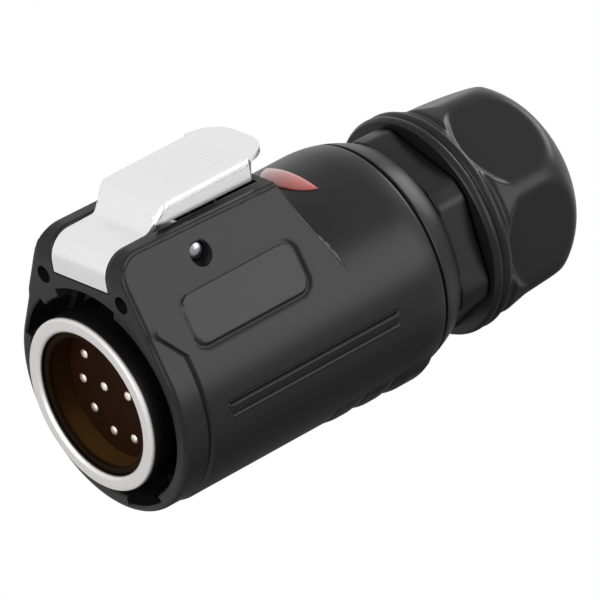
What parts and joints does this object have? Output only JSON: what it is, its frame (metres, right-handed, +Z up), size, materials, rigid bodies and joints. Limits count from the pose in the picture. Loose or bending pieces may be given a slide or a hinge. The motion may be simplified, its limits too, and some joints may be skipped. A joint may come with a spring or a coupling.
{
  "type": "circular waterproof cable plug",
  "caption": "Black cable plug of a waterproof circular connector: metal ring with a pin insert, silver latch lever on top, hexagonal screw gland at the rear.",
  "frame": {"origin": "centre of the coupling ring's front rim, on the plug's axis", "axes": "+X along the plug's axis towards the cable gland, +Z up through the latch"},
  "size_m": [0.0804, 0.0358, 0.0453],
  "materials": {
    "shell_plastic": "satin",
    "latch_metal": "satin",
    "pin_steel": "satin",
    "spring_steel": "satin",
    "indicator_plastic": "gloss",
    "ring_metal": "satin",
    "retainer_brass": "satin",
    "insert_plastic": "gloss",
    "contact_metal": "gloss",
    "seal_rubber": "matte",
    "gland_plastic": "satin",
    "cage_plastic": "matte",
    "slip_plastic": "matte"
  },
  "bodies": {
    "plug": {"shell": "shell_plastic", "latch_pin": "pin_steel", "latch_spring": "spring_steel", "lock_indicator": "indicator_plastic", "coupling_ring": "ring_metal", "front_seal": "seal_rubber", "ring_retainer": "retainer_brass", "insert": "insert_plastic", "rear_insulator": "insert_plastic", "body_seal": "seal_rubber", "gland_body": "gland_plastic", "clamp_cage": "cage_plastic", "cable_seal": "seal_rubber", "contact_01": "contact_metal", "contact_02": "contact_metal", "contact_03": "contact_metal", "contact_04": "contact_metal", "contact_05": "contact_metal", "contact_06": "contact_metal", "contact_07": "contact_metal", "contact_08": "contact_metal", "contact_09": "contact_metal", "contact_10": "contact_metal", "contact_11": "contact_metal", "contact_12": "contact_metal"},
    "latch": {"latch": "latch_metal"},
    "thrust": {"thrust_ring": "slip_plastic"},
    "nut": {"gland_nut": "gland_plastic"}
  },
  "joints": [
    {"name": "latch_hinge", "type": "hinge", "parent": "plug", "child": "latch", "pos_m": [0.01565, 0, 0.0194], "axis": [0, 1, 0], "range_deg": [0, 3], "stiffness_Nm_per_rad": 0.3, "deforming": ["latch_spring"]},
    {"name": "nut_travel", "type": "slide", "parent": "plug", "child": "thrust", "axis": [1, 0, 0], "range_m": [0, 0.0046]},
    {"name": "nut_turn", "type": "hinge", "parent": "thrust", "child": "nut", "pos_m": [0.07, 0, 0], "axis": [1, 0, 0], "range_deg": [0, 1080]}
  ],
  "couplings": [
    {"joint": "nut_travel", "follows": "nut_turn", "m_per_rad": 0.00023873}
  ]
}
